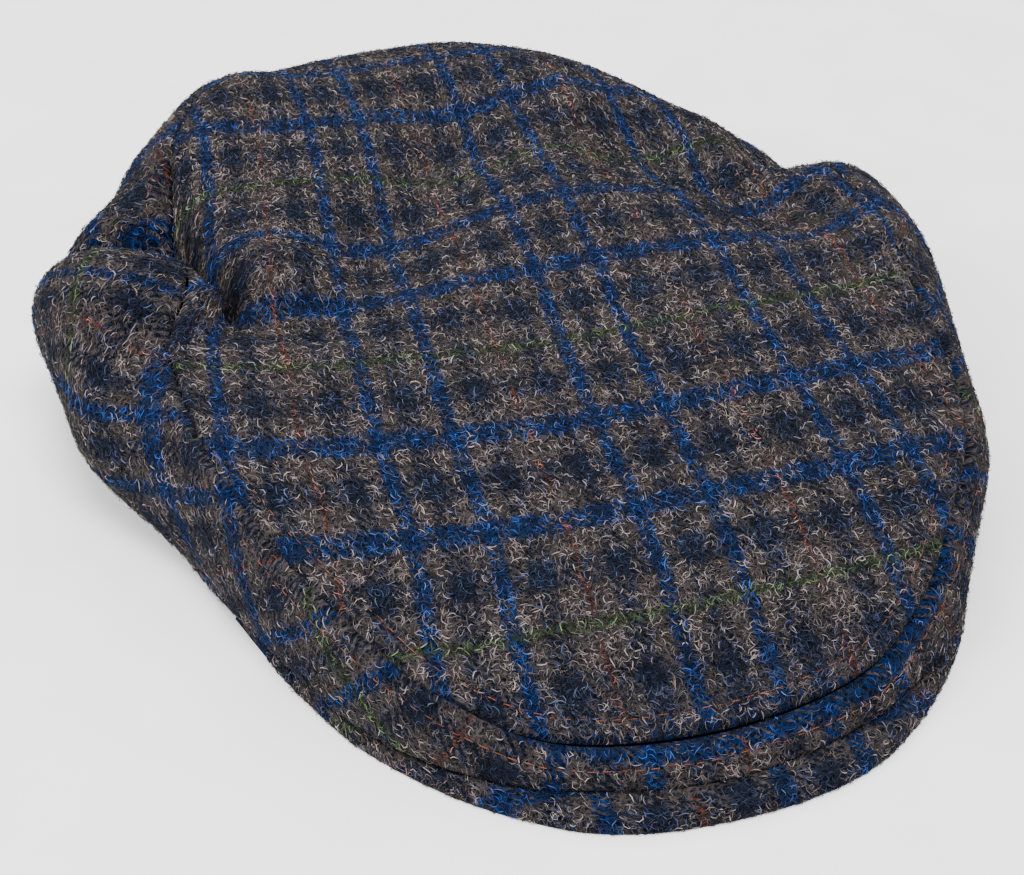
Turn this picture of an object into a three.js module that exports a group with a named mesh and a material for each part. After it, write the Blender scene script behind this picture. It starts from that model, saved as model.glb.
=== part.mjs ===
// Flat cap lying on a table, in millimetres, +Z up, the peak towards -Y.
//
// A one-piece cloth top slopes down to a seam above the peak, a single cloth band wraps the
// front, the sides and the back under that seam, and a thin stiff peak lies under the front of
// the band. The cap is hollow and open downwards.
//
// The top is described as a flat panel of cloth: p runs across the cap from its middle, q runs
// back from the middle of the front seam. ROWS says where each crosswise row of the cloth lies,
// STATIONS gives the outline of the panel and the hem of the band under it, FOLDS adds the dents.
import * as THREE from "three";

// ---------------------------------------------------------------- driving dimensions
const WALL = 2.0; // thickness of the tweed
const SEAM_GAP = 0.25; // how far each cloth edge stops short of the seam line
const PEAK_THICK = 4.0; // stiff peak covered in cloth
const HALF_WIDTH = 104; // half the width of the cloth panel, where the side turn is measured
const PANEL_CENTRE = { p: 0, q: 140 }; // middle of the cloth panel, where its rings start
const AROUND = 132; // facets around the cap
const RINGS = [0.12, 0.25, 0.38, 0.5, 0.61, 0.71, 0.8, 0.88, 0.95, 1]; // rings of the top panel
const BAND_STEPS = 6; // rows of facets up the band
const PEAK_STEPS = 48; // facets along the peak

// Each row of the top panel: how far back it lies and how high its middle is, then for the left
// and right half the turn of the cloth at the edge (degrees), how far the edge sweeps back and
// how much the row is gathered in, and how far the whole row leans to the right.
const ROWS = table(
  ["q", "back", "rise", "turnL", "turnR", "sweepL", "sweepR", "gatherL", "gatherR", "lean"],
  [
    [0, -55, 10.5, 10, 12, 10, 9, 1.0, 1.0, 0],
    [27, -32, 25, 12, 16, 12, 10, 1.0, 0.99, 0],
    [52, -8, 34, 8, 14, 18, 9, 0.95, 0.97, 0],
    [77, 17, 41, 3, 10, 20, 8, 0.94, 0.94, -1],
    [102, 42, 46, 4, 10, 20, 8, 0.91, 0.91, -1],
    [127, 67, 50, 8, 16, 14, 8, 0.9, 0.9, 0],
    [152, 93, 54, 12, 22, 10, 8, 0.86, 0.86, 1],
    [177, 117, 56, 14, 30, 6, 8, 0.82, 0.84, 2],
    [202, 142, 57, 18, 40, 2, 6, 0.8, 0.8, 3],
    [227, 168, 57, 26, 48, 0, 4, 0.8, 0.8, 3],
    [250, 190, 50, 36, 50, 0, 0, 0.8, 0.8, 3],
    [272, 204, 32, 46, 52, 0, 0, 0.8, 0.8, 3],
  ],
);

// Stations from the front centre to the back centre, the same on both sides: the edge of the
// top panel in its own cloth, the hem under it, how far the band bulges out and how far it
// puffs up, left and right.
const STATIONS = table(
  ["p", "q", "hemX", "hemY", "hemZ", "bulgeL", "bulgeR", "puffL", "puffR"],
  [
    [0, 0, 0, -64, 4.3, 1, 1, 0, 0],
    [34, 4, 35, -57, 4.3, 1, 1, 0, 0],
    [55, 17, 58, -43, 4.3, 1, 1, 0, 0],
    [70, 34, 73, -24, 4.3, 2, 3, 0, 0],
    [86, 54, 85, 4, 4.3, 3, 6, 0, 0],
    [96, 80, 93, 34, 0, 5, 8, 2, 2],
    [102, 115, 100, 70, 0, 21, 12, 8, 4],
    [107, 155, 101, 108, 0, 26, 12, 22, 6],
    [104, 195, 90, 146, 0, 11, 8, 10, 2],
    [80, 232, 66, 176, 0, 9, 8, 6, 0],
    [42, 254, 35, 192, 0, 8, 8, 4, 0],
    [0, 262, 0, 196, 0, 8, 8, 4, 4],
  ],
);

// Dents and folds of the top: each runs along a line of the cloth from (p, q) to (toP, toQ),
// fades out over its width and moves the cloth sideways and up by the given amounts.
const FOLDS = table(
  ["name", "p", "q", "toP", "toQ", "width", "side", "lift"],
  [
    ["valley behind the middle", -45, 148, -8, 185, 20, 0, -9],
    ["hump beside the crease", -72, 141, -66, 139, 11, 0, 6],
    ["foot of the hump", -86, 124, -56, 122, 8, 0, -4],
    ["lip in front of the crease", -99, 127, -111, 143, 10, 10, 9],
    ["crease at the left edge", -92, 138, -103, 160, 7, 0, -19],
    ["gully along the left seam", -108, 164, -113, 187, 11, 4, -6],
    ["left rear shoulder", -98, 202, -76, 224, 20, 0, 9],
    ["ridge on the right", 30, 212, 58, 146, 10, 0, 3],
    ["dent on the right", 46, 176, 78, 148, 18, 0, -13],
    ["slump at the right rear", 45, 264, 92, 227, 23, 0, -20],
    ["notch behind the bump", 99, 176, 110, 180, 12, 0, -10],
    ["bump over the right edge", 106, 146, 108, 122, 15, 0, 6],
  ],
);

// Half of the peak seen from above: its outer edge and the inner edge hidden in the cap.
const PEAK = table(
  ["x", "y", "innerX", "innerY"],
  [
    [0, -71, 0, -30],
    [16, -70, 14, -29],
    [31, -66, 27, -26],
    [43, -59, 39, -21],
    [54, -50, 49, -15],
    [64, -39, 58, -8],
    [73, -26, 65, -1],
    [80, -12, 70, 1],
    [83.5, -3, 74, 3],
  ],
);

// Cross-section of the peak from the lower outer corner over the top: how far in from the
// outer edge, or the inner edge itself, and how high as a share of its thickness.
const PEAK_SECTION = table(
  ["inset", "atInner", "height"],
  [
    [0.8, 0, 0],
    [0, 0, 0.3],
    [0, 0, 0.65],
    [1.4, 0, 1],
    [0, 1, 1],
    [0, 1, 0],
  ],
);

// ---------------------------------------------------------------- tables and curves
function table(columns, rows) {
  return rows.map((row) => Object.fromEntries(columns.map((name, k) => [name, row[k]])));
}

// Smooth curve through the points (xs, ys), evaluated at x.
function curve(xs, ys, x) {
  const last = xs.length - 1;
  let k = 0;
  while (k < last - 1 && x > xs[k + 1]) k += 1;
  const step = xs[k + 1] - xs[k];
  const t = (x - xs[k]) / step;
  const slope = (i) => {
    const a = Math.max(i - 1, 0);
    const b = Math.min(i + 1, last);
    return (ys[b] - ys[a]) / (xs[b] - xs[a]);
  };
  const start = (1 + 2 * t) * (1 - t) ** 2 * ys[k] + t * (1 - t) ** 2 * slope(k) * step;
  const end = t * t * (3 - 2 * t) * ys[k + 1] + t * t * (t - 1) * slope(k + 1) * step;
  return start + end;
}

function column(rows, name) {
  return rows.map((row) => row[name]);
}

// ---------------------------------------------------------------- the top panel
const rowColumns = Object.keys(ROWS[0]).filter((name) => name !== "q");
const rowPlaces = column(ROWS, "q");
const rowValues = Object.fromEntries(rowColumns.map((name) => [name, column(ROWS, name)]));

function rowAt(q) {
  return Object.fromEntries(
    rowColumns.map((name) => [name, curve(rowPlaces, rowValues[name], q)]),
  );
}

function foldShift(p, q) {
  const shift = new THREE.Vector3();
  for (const fold of FOLDS) {
    const runP = fold.toP - fold.p;
    const runQ = fold.toQ - fold.q;
    const along = ((p - fold.p) * runP + (q - fold.q) * runQ) / (runP ** 2 + runQ ** 2);
    const t = THREE.MathUtils.clamp(along, 0, 1);
    const away = Math.hypot(p - fold.p - t * runP, q - fold.q - t * runQ);
    const strength = Math.exp(-((away / fold.width) ** 2));
    shift.x += strength * fold.side;
    shift.z += strength * fold.lift;
  }
  return shift;
}

// Where the cloth point (p, q) lies. Across a row the cloth turns down ever faster towards
// its edge, so its width and fall are the series of the arc whose turn grows with p squared.
function topPoint(p, q) {
  const row = rowAt(q);
  const side = p < 0 ? "L" : "R";
  const s = Math.abs(p) / HALF_WIDTH;
  const turn = THREE.MathUtils.degToRad(row[`turn${side}`]);
  const reach = HALF_WIDTH * (s - (turn ** 2 * s ** 5) / 10 + (turn ** 4 * s ** 9) / 216);
  const fall = HALF_WIDTH * ((turn * s ** 3) / 3 - (turn ** 3 * s ** 7) / 42);
  const point = new THREE.Vector3(
    Math.sign(p) * reach * row[`gather${side}`] + row.lean,
    row.back + row[`sweep${side}`] * s * s,
    row.rise - fall,
  );
  return point.add(foldShift(p, q));
}

function topNormal(p, q) {
  const step = 1.5;
  const across = topPoint(p + step, q).sub(topPoint(p - step, q));
  const back = topPoint(p, q + step).sub(topPoint(p, q - step));
  return across.cross(back).normalize();
}

// ---------------------------------------------------------------- around the cap
// A full turn of stations: back centre, left side, front centre, right side, back centre.
const lastStation = STATIONS.length - 1;

function stationValue(name, t) {
  const mirrored = name === "p" || name === "hemX";
  const places = [];
  const values = [];
  for (let k = -lastStation - 3; k <= lastStation + 3; k += 1) {
    const wrapped = THREE.MathUtils.euclideanModulo(k + lastStation, 2 * lastStation) - lastStation;
    const value = STATIONS[Math.abs(wrapped)][name];
    places.push(k);
    values.push(mirrored && wrapped < 0 ? -value : value);
  }
  return curve(places, values, t);
}

function around(k) {
  const t = (2 * lastStation * k) / AROUND - lastStation;
  const side = t < 0 ? "L" : "R";
  return {
    p: stationValue("p", t),
    q: stationValue("q", t),
    hem: new THREE.Vector3(
      stationValue("hemX", t),
      stationValue("hemY", t),
      Math.max(stationValue("hemZ", t), 0),
    ),
    bulge: stationValue(`bulge${side}`, t),
    puff: stationValue(`puff${side}`, t),
  };
}

const turnOfCap = Array.from({ length: AROUND }, (_, k) => around(k));
const next = (k) => (k + 1) % AROUND;
const previous = (k) => (k + AROUND - 1) % AROUND;

// Level direction pointing out of the cap at the hem.
function outward(k) {
  const along = turnOfCap[next(k)].hem.clone().sub(turnOfCap[previous(k)].hem);
  return new THREE.Vector3(along.y, -along.x, 0).normalize();
}

// ---------------------------------------------------------------- the band
// Point of the band at height share v, 0 at the hem and 1 at the seam.
function bandPoint(k, v) {
  const place = turnOfCap[k];
  const point = place.hem.clone().lerp(topPoint(place.p, place.q), v);
  point.addScaledVector(outward(k), 4 * v * (1 - v) * place.bulge);
  point.z += 6.75 * v * v * (1 - v) * place.puff;
  return point;
}

function bandNormal(k, v) {
  const step = 0.04;
  const along = bandPoint(next(k), v).sub(bandPoint(previous(k), v));
  const up = bandPoint(k, Math.min(v + step, 1)).sub(bandPoint(k, Math.max(v - step, 0)));
  return along.cross(up).normalize();
}

// Both cloth edges at the seam are cut along one mitre, from the outside to the inside.
function seamMitre(k) {
  const { p, q } = turnOfCap[k];
  const top = topNormal(p, q);
  const mitre = top.clone().add(bandNormal(k, 1)).normalize();
  const squareness = Math.max(mitre.dot(top), 0.55);
  return mitre.multiplyScalar(-WALL / squareness);
}

const mitres = turnOfCap.map((_, k) => seamMitre(k));

// ---------------------------------------------------------------- closed bodies
class Body {
  constructor() {
    this.points = [];
    this.faces = [];
  }

  add(point) {
    this.points.push(point.x, point.y, point.z);
    return this.points.length / 3 - 1;
  }

  quad(a, b, c, d) {
    this.faces.push(a, b, c, a, c, d);
  }

  triangle(a, b, c) {
    this.faces.push(a, b, c);
  }

  geometry() {
    const geometry = new THREE.BufferGeometry();
    geometry.setAttribute("position", new THREE.Float32BufferAttribute(this.points, 3));
    geometry.setIndex(this.faces);
    geometry.computeVertexNormals();
    return geometry;
  }
}

function topBody() {
  const body = new Body();
  const { p: midP, q: midQ } = PANEL_CENTRE;
  const middle = topPoint(midP, midQ);
  const outerMiddle = body.add(middle);
  const innerMiddle = body.add(middle.clone().addScaledVector(topNormal(midP, midQ), -WALL));
  const outer = [];
  const inner = [];
  RINGS.forEach((share) => {
    const outerRing = [];
    const innerRing = [];
    turnOfCap.forEach((place, k) => {
      const reach = Math.hypot(place.p - midP, place.q - midQ);
      const s = Math.min(share, 1 - SEAM_GAP / reach);
      const p = midP + s * (place.p - midP);
      const q = midQ + s * (place.q - midQ);
      const point = topPoint(p, q);
      const inwards = share < 1 ? topNormal(p, q).multiplyScalar(-WALL) : mitres[k];
      outerRing.push(body.add(point));
      innerRing.push(body.add(point.clone().add(inwards)));
    });
    outer.push(outerRing);
    inner.push(innerRing);
  });
  const rim = RINGS.length - 1;
  for (let k = 0; k < AROUND; k += 1) {
    const n = next(k);
    body.triangle(outerMiddle, outer[0][k], outer[0][n]);
    body.triangle(innerMiddle, inner[0][n], inner[0][k]);
    for (let j = 0; j < rim; j += 1) {
      body.quad(outer[j][k], outer[j + 1][k], outer[j + 1][n], outer[j][n]);
      body.quad(inner[j][k], inner[j][n], inner[j + 1][n], inner[j + 1][k]);
    }
    body.quad(outer[rim][k], inner[rim][k], inner[rim][n], outer[rim][n]);
  }
  return body;
}

function bandBody() {
  const body = new Body();
  const outer = [];
  const inner = [];
  for (let i = 0; i <= BAND_STEPS; i += 1) {
    const v = i / BAND_STEPS;
    const outerRow = [];
    const innerRow = [];
    turnOfCap.forEach((place, k) => {
      const point = bandPoint(k, v);
      let inwards = bandNormal(k, v).multiplyScalar(-WALL);
      if (i === 0) inwards = outward(k).multiplyScalar(-WALL);
      if (i === BAND_STEPS) {
        const down = bandPoint(k, v - 0.05).sub(point).normalize();
        point.addScaledVector(down, SEAM_GAP);
        inwards = mitres[k];
      }
      outerRow.push(body.add(point));
      const inside = point.clone().add(inwards);
      inside.z = Math.max(inside.z, place.hem.z);
      innerRow.push(body.add(inside));
    });
    outer.push(outerRow);
    inner.push(innerRow);
  }
  for (let k = 0; k < AROUND; k += 1) {
    const n = next(k);
    for (let i = 0; i < BAND_STEPS; i += 1) {
      body.quad(outer[i][k], outer[i][n], outer[i + 1][n], outer[i + 1][k]);
      body.quad(inner[i][k], inner[i + 1][k], inner[i + 1][n], inner[i][n]);
    }
    const top = BAND_STEPS;
    body.quad(outer[top][k], outer[top][n], inner[top][n], inner[top][k]);
    body.quad(outer[0][k], inner[0][k], inner[0][n], outer[0][n]);
  }
  return body;
}

// ---------------------------------------------------------------- the peak
function peakPlace(t) {
  const last = PEAK.length - 1;
  const places = [];
  for (let k = -last; k <= last; k += 1) places.push(k);
  const value = (name, mirrored) => {
    const sign = (k) => (mirrored && k < 0 ? -1 : 1);
    return curve(places, places.map((k) => sign(k) * PEAK[Math.abs(k)][name]), t * last);
  };
  const edge = new THREE.Vector3(value("x", true), value("y", false), 0);
  const inner = new THREE.Vector3(value("innerX", true), value("innerY", false), 0);
  return { edge, inner };
}

function peakBody() {
  const body = new Body();
  const sections = [];
  for (let k = 0; k <= PEAK_STEPS; k += 1) {
    const { edge, inner } = peakPlace((2 * k) / PEAK_STEPS - 1);
    const inwards = inner.clone().sub(edge).normalize();
    sections.push(
      PEAK_SECTION.map((corner) => {
        const point = corner.atInner ? inner.clone() : edge.clone();
        point.addScaledVector(inwards, corner.inset);
        point.z = corner.height * PEAK_THICK;
        return body.add(point);
      }),
    );
  }
  const corners = PEAK_SECTION.length;
  for (let k = 0; k < PEAK_STEPS; k += 1) {
    for (let m = 0; m < corners; m += 1) {
      const n = (m + 1) % corners;
      body.quad(sections[k][m], sections[k + 1][m], sections[k + 1][n], sections[k][n]);
    }
  }
  for (let m = 1; m < corners - 1; m += 1) {
    body.triangle(sections[0][0], sections[0][m], sections[0][m + 1]);
    body.triangle(sections[PEAK_STEPS][0], sections[PEAK_STEPS][m + 1], sections[PEAK_STEPS][m]);
  }
  return body;
}

// ---------------------------------------------------------------- the assembly
const tweed = { color: 0x3d3f48, roughness: 0.95, metalness: 0 };

function piece(name, body) {
  const mesh = new THREE.Mesh(body.geometry(), new THREE.MeshStandardMaterial(tweed));
  mesh.name = name;
  return mesh;
}

const group = new THREE.Group();
group.name = "flat_cap";
group.add(piece("crown_top", topBody()));
group.add(piece("side_band", bandBody()));
group.add(piece("peak", peakBody()));

// The origin is on the table under the middle of the whole cap.
const extent = new THREE.Box3().setFromObject(group);
const middle = extent.getCenter(new THREE.Vector3());
for (const mesh of group.children) {
  mesh.geometry.translate(-middle.x, -middle.y, -extent.min.z);
}

export default group;
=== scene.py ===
# Looks of the flat cap: the same cloth forms as the CAD solids, made finer, with their seams, top
# stitching, plaid tweed and curly wool fibres. Lengths are in millimetres until a mesh is made.
# The cap's own lines run from its peak (-Y) to its back (+Y). A place on the flat cloth of the top
# panel is (p, q): p across it, q from the front seam to the back. Stations t count around the cap:
# 0 at the front centre, LAST at the back centre, below 0 on the left.
import math

import bpy
import numpy as np
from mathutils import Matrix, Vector


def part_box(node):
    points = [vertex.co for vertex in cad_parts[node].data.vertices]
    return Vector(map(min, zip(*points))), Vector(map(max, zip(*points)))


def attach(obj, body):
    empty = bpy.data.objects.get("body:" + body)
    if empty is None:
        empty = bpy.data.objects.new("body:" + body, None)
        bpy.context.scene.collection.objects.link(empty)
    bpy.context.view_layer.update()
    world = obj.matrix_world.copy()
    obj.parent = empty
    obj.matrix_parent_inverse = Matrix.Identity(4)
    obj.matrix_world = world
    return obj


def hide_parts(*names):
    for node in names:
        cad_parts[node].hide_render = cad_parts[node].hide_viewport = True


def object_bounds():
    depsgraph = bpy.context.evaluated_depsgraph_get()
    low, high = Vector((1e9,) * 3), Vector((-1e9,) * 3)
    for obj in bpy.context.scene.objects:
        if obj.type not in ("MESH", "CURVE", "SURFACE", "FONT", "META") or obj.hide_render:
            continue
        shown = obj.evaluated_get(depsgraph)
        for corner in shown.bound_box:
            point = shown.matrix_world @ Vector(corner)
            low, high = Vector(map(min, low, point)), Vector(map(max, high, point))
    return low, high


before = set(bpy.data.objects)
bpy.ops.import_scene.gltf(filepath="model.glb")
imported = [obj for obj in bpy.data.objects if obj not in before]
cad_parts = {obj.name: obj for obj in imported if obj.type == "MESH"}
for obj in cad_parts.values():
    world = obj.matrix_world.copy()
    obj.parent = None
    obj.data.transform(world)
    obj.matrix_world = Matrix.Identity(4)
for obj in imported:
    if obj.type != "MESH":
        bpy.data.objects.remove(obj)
cad_low, cad_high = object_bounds()

# ---------------- driving dimensions (mm)
WALL = 2.0  # thickness of the cloth with its backing
SEAM_GAP = 0.25  # between the band and the top panel
PEAK_THICK = 4.0
HALF_WIDTH = 104.0  # from the top panel's middle line to its rolled side
PANEL_CENTRE = (0.0, 140.0)  # p, q

ROWS = {  # crosswise rows of the top panel, from its front to its back
    "q": (0, 27, 52, 77, 102, 127, 152, 177, 202, 227, 250, 272),
    "back": (-55, -32, -8, 17, 42, 67, 93, 117, 142, 168, 190, 204),
    "rise": (10.5, 25, 34, 41, 46, 50, 54, 56, 57, 57, 50, 32),
    "turnL": (10, 12, 8, 3, 4, 8, 12, 14, 18, 26, 36, 46),
    "turnR": (12, 16, 14, 10, 10, 16, 22, 30, 40, 48, 50, 52),
    "sweepL": (10, 12, 18, 20, 20, 14, 10, 6, 2, 0, 0, 0),
    "sweepR": (9, 10, 9, 8, 8, 8, 8, 8, 6, 4, 0, 0),
    "gatherL": (1, 1, 0.95, 0.94, 0.91, 0.9, 0.86, 0.82, 0.8, 0.8, 0.8, 0.8),
    "gatherR": (1, 0.99, 0.97, 0.94, 0.91, 0.9, 0.86, 0.84, 0.8, 0.8, 0.8, 0.8),
    "lean": (0, 0, 0, -1, -1, 0, 1, 2, 3, 3, 3, 3),
}
STATIONS = {  # around the cap, from its front centre to its back centre
    "p": (0, 34, 55, 70, 86, 96, 102, 107, 104, 80, 42, 0),
    "q": (0, 4, 17, 34, 54, 80, 115, 155, 195, 232, 254, 262),
    "hemX": (0, 35, 58, 73, 85, 93, 100, 101, 90, 66, 35, 0),
    "hemY": (-64, -57, -43, -24, 4, 34, 70, 108, 146, 176, 192, 196),
    "hemZ": (4.3, 4.3, 4.3, 4.3, 4.3, 0, 0, 0, 0, 0, 0, 0),
    "bulgeL": (1, 1, 1, 2, 3, 5, 21, 26, 11, 9, 8, 8),
    "bulgeR": (1, 1, 1, 3, 6, 8, 12, 12, 8, 8, 8, 8),
    "puffL": (0, 0, 0, 0, 0, 2, 8, 22, 10, 6, 4, 4),
    "puffR": (0, 0, 0, 0, 0, 2, 4, 6, 2, 0, 0, 4),
}
FOLDS = (  # p, q, to p, to q, width, side, lift
    (-45, 148, -8, 185, 20, 0, -9),
    (-72, 141, -66, 139, 11, 0, 6),
    (-86, 124, -56, 122, 8, 0, -4),
    (-99, 127, -111, 143, 10, 10, 9),
    (-91, 137, -105, 164, 8, 0, -23),
    (-108, 164, -113, 187, 11, 4, -6),
    (-98, 202, -76, 224, 20, 0, 9),
    (30, 212, 58, 146, 10, 0, 3),
    (46, 176, 78, 148, 18, 0, -13),
    (45, 264, 92, 227, 23, 0, -20),
    (99, 176, 110, 180, 12, 0, -10),
    (106, 146, 108, 122, 15, 0, 6),
)
PEAK = {  # outline and hidden inner edge, from the front centre to a tip
    "x": (0, 16, 31, 43, 54, 64, 73, 79.2, 82.4, 86.6, 89.2),
    "y": (-71, -70, -66, -59, -50, -39, -26, -12, -3.5, 10.5, 20),
    "innerX": (0, 14, 27, 39, 49, 58, 65, 70, 74, 78, 83),
    "innerY": (-30, -29, -26, -21, -15, -8, -1, 1, 3, 14, 22),
    "share": (1, 1, 1, 1, 1, 1, 1, 1, 1, 0.78, 0.34),  # of the thickness
}

# The plaid: lines across the cloth every 17.5 mm and back along it every 25 mm.
CHECK_P, CHECK_Q = 17.5, 25.0
CHECK_P0, CHECK_Q0 = 5.15, -1.09  # where p = 0 and q = 0 lie in that count of lines


# ---------------- curves
def curve(xs, ys, x):
    """Smooth curve through the points (xs, ys), with the chord's slope at each."""
    xs, ys = np.asarray(xs, float), np.asarray(ys, float)
    x = np.asarray(x, float)
    last = len(xs) - 1
    slope = np.empty(last + 1)
    slope[1:-1] = (ys[2:] - ys[:-2]) / (xs[2:] - xs[:-2])
    slope[0] = (ys[1] - ys[0]) / (xs[1] - xs[0])
    slope[-1] = (ys[-1] - ys[-2]) / (xs[-1] - xs[-2])
    k = np.clip(np.searchsorted(xs, x) - 1, 0, last - 1)
    h = xs[k + 1] - xs[k]
    t = (x - xs[k]) / h
    start = (1 + 2 * t) * (1 - t) ** 2 * ys[k] + t * (1 - t) ** 2 * slope[k] * h
    return start + t * t * (3 - 2 * t) * ys[k + 1] + t * t * (t - 1) * slope[k + 1] * h


def unit(v):
    return v / np.maximum(np.linalg.norm(v, axis=-1, keepdims=True), 1e-9)


def smooth(lo, hi, x):
    """0 below lo, 1 above hi and smooth between."""
    t = np.clip((x - lo) / (hi - lo), 0, 1)
    return t * t * (3 - 2 * t)


def run_along(points):
    """Length along a line of points, at each of them."""
    return np.concatenate([[0], np.linalg.norm(np.diff(points, axis=0), axis=-1).cumsum()])


# ---------------- the top panel
def top_point(p, q):
    """Place of the top panel's cloth before the seam's relief. A row keeps its length while it
    curls down ever more tightly (a series for the clothoid); then the folds lift or sink it."""
    p, q = np.broadcast_arrays(np.asarray(p, float), np.asarray(q, float))
    row = {name: curve(ROWS["q"], ROWS[name], q) for name in ROWS if name != "q"}
    left = p < 0
    turn = np.radians(np.where(left, row["turnL"], row["turnR"]))
    sweep = np.where(left, row["sweepL"], row["sweepR"])
    gather = np.where(left, row["gatherL"], row["gatherR"])
    s = np.abs(p) / HALF_WIDTH
    reach = HALF_WIDTH * (s - turn**2 * s**5 / 10 + turn**4 * s**9 / 216)
    fall = HALF_WIDTH * (turn * s**3 / 3 - turn**3 * s**7 / 42)
    x = np.sign(p) * reach * gather + row["lean"]
    y = row["back"] + sweep * s * s
    z = row["rise"] - fall
    for p0, q0, p1, q1, width, side, lift in FOLDS:
        dp, dq = p1 - p0, q1 - q0
        t = np.clip(((p - p0) * dp + (q - q0) * dq) / (dp * dp + dq * dq), 0, 1)
        strength = np.exp(-((p - p0 - t * dp) ** 2 + (q - q0 - t * dq) ** 2) / width**2)
        x = x + strength * side
        z = z + strength * lift
    return np.stack([x, y, z], -1)


def top_normal(p, q, step=1.5):
    across = top_point(p + step, q) - top_point(p - step, q)
    back = top_point(p, q + step) - top_point(p, q - step)
    return unit(np.cross(across, back))


# ---------------- around the cap
LAST = len(STATIONS["p"]) - 1
MITRE_LIMIT = 0.55  # keeps a sharp corner from running out too far


def station(name, t):
    """A value of STATIONS at t. The table holds the right side; the left mirrors p and hemX."""
    k = np.arange(-LAST - 3, LAST + 4)
    wrapped = (k + LAST) % (2 * LAST) - LAST
    value = np.asarray(STATIONS[name], float)[np.abs(wrapped)]
    if name in ("p", "hemX"):
        value = np.where(wrapped < 0, -value, value)
    return curve(k, value, t)


def sided(name, t):
    """A value that the table holds for the left side and the right side apart."""
    return np.where(t < 0, station(name + "L", t), station(name + "R", t))


def wrap(t):
    return (np.asarray(t, float) + LAST) % (2 * LAST) - LAST


def hem_point(t):
    t = wrap(t)
    z = np.maximum(station("hemZ", t), 0)
    return np.stack([station("hemX", t), station("hemY", t), z], -1)


def outward(t, dt=0.08):
    """Level direction away from the cap, square to the hem."""
    along = hem_point(t + dt) - hem_point(t - dt)
    return unit(np.stack([along[..., 1], -along[..., 0], 0 * along[..., 0]], -1))


def band_point(t, v):
    """Place of the band at station t and height share v, 0 at the hem and 1 at the seam. It
    bulges most at mid height, and puffs up most a third below the seam."""
    t, v = np.broadcast_arrays(wrap(t), np.asarray(v, float))
    hem = hem_point(t)
    seam = top_point(station("p", t), station("q", t))
    w = v[..., None]
    point = hem + (seam - hem) * w + outward(t) * (4 * w * (1 - w)) * sided("bulge", t)[..., None]
    point[..., 2] += 6.75 * v * v * (1 - v) * sided("puff", t)
    return point


def band_normal(t, v, dt=0.05, dv=0.03):
    along = band_point(t + dt, v) - band_point(t - dt, v)
    up = band_point(t, np.minimum(v + dv, 1)) - band_point(t, np.maximum(v - dv, 0))
    return unit(np.cross(along, up))


def seam_mitre(t):
    """From the seam to the inner corner where the panel's wall meets the band's."""
    t = wrap(t)
    top = top_normal(station("p", t), station("q", t))
    mitre = unit(top + band_normal(t, np.ones_like(t)))
    square = np.maximum((mitre * top).sum(-1, keepdims=True), MITRE_LIMIT)
    return -WALL * mitre / square


# ---------------- relief of the sewn cloth
TOP_UNEVEN, BAND_UNEVEN, PEAK_UNEVEN = (0.45, 9, 3), (0.35, 8, 4), (0.18, 7, 5)  # lift, size, seed
STITCH_IN = 5.0  # distance of the top stitching from the seam
SEAM_SOFTENS = (5.2, 6.2)  # stations between which the seam's relief fades out
SEAM_FADE = 0.8  # share of it that is gone behind them
ROLL, ROLL_WIDTH = 1.7, 0.9  # the cloth turns down into the seam
WELT, WELT_FROM, WELT_TO = 0.5, (0.5, 2.2), (0.6, 3.5)  # TO is counted from the stitching
DIP, DIP_WIDTH = 0.35, 0.8  # the stitches draw the cloth in
HEM_ROLL, HEM_ROLL_WIDTH = 0.9, 0.8


def uneven(a, b, lift, size, seed):
    """Slow, even unevenness of the cloth, from waves of mixed directions."""
    rng = np.random.default_rng(seed)
    a, b = a / size, b / size
    total = np.zeros(np.broadcast(a, b).shape)
    for turn in rng.uniform(0, math.pi, 9):
        wave = rng.uniform(0.8, 1.3)
        phase = rng.uniform(0, 2 * math.pi)
        total = total + np.sin(wave * (a * math.cos(turn) + b * math.sin(turn)) + phase)
    return lift * total / 4


def seam_relief(depth, t):
    """Lift of the cloth at a distance from the seam: it rolls into the seam, stands a little
    proud over the seam allowance and dips again at the top stitching."""
    sharp = 1 - SEAM_FADE * smooth(*SEAM_SOFTENS, np.abs(wrap(t)))
    roll = -ROLL * sharp * np.exp(-((depth / ROLL_WIDTH) ** 2))
    ends = smooth(STITCH_IN + WELT_TO[0], STITCH_IN + WELT_TO[1], depth)
    welt = WELT * smooth(*WELT_FROM, depth) * (1 - ends)
    dip = -DIP * np.exp(-(((depth - STITCH_IN) / DIP_WIDTH) ** 2))
    return roll + (welt + dip) * sharp


def panel_turn(p, q):
    """Direction of a place from the panel's centre: grows with t, 0 at the front centre."""
    return np.arctan2(p - PANEL_CENTRE[0], -(q - PANEL_CENTRE[1]))


# The panel's outline from its centre, and how squarely a line from there meets it (1 is square).
EDGE_T = np.linspace(-LAST, LAST, 1441)[:-1]
EDGE_TURN = panel_turn(station("p", EDGE_T), station("q", EDGE_T))
EDGE_P, EDGE_Q = station("p", EDGE_T) - PANEL_CENTRE[0], station("q", EDGE_T) - PANEL_CENTRE[1]
EDGE_REACH = np.hypot(EDGE_P, EDGE_Q)
EDGE_DP = np.roll(EDGE_P, -1) - np.roll(EDGE_P, 1)
EDGE_DQ = np.roll(EDGE_Q, -1) - np.roll(EDGE_Q, 1)
EDGE_SQUARE = np.abs(EDGE_DQ * EDGE_P - EDGE_DP * EDGE_Q) / (
    np.hypot(EDGE_DP, EDGE_DQ) * EDGE_REACH
)


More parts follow.
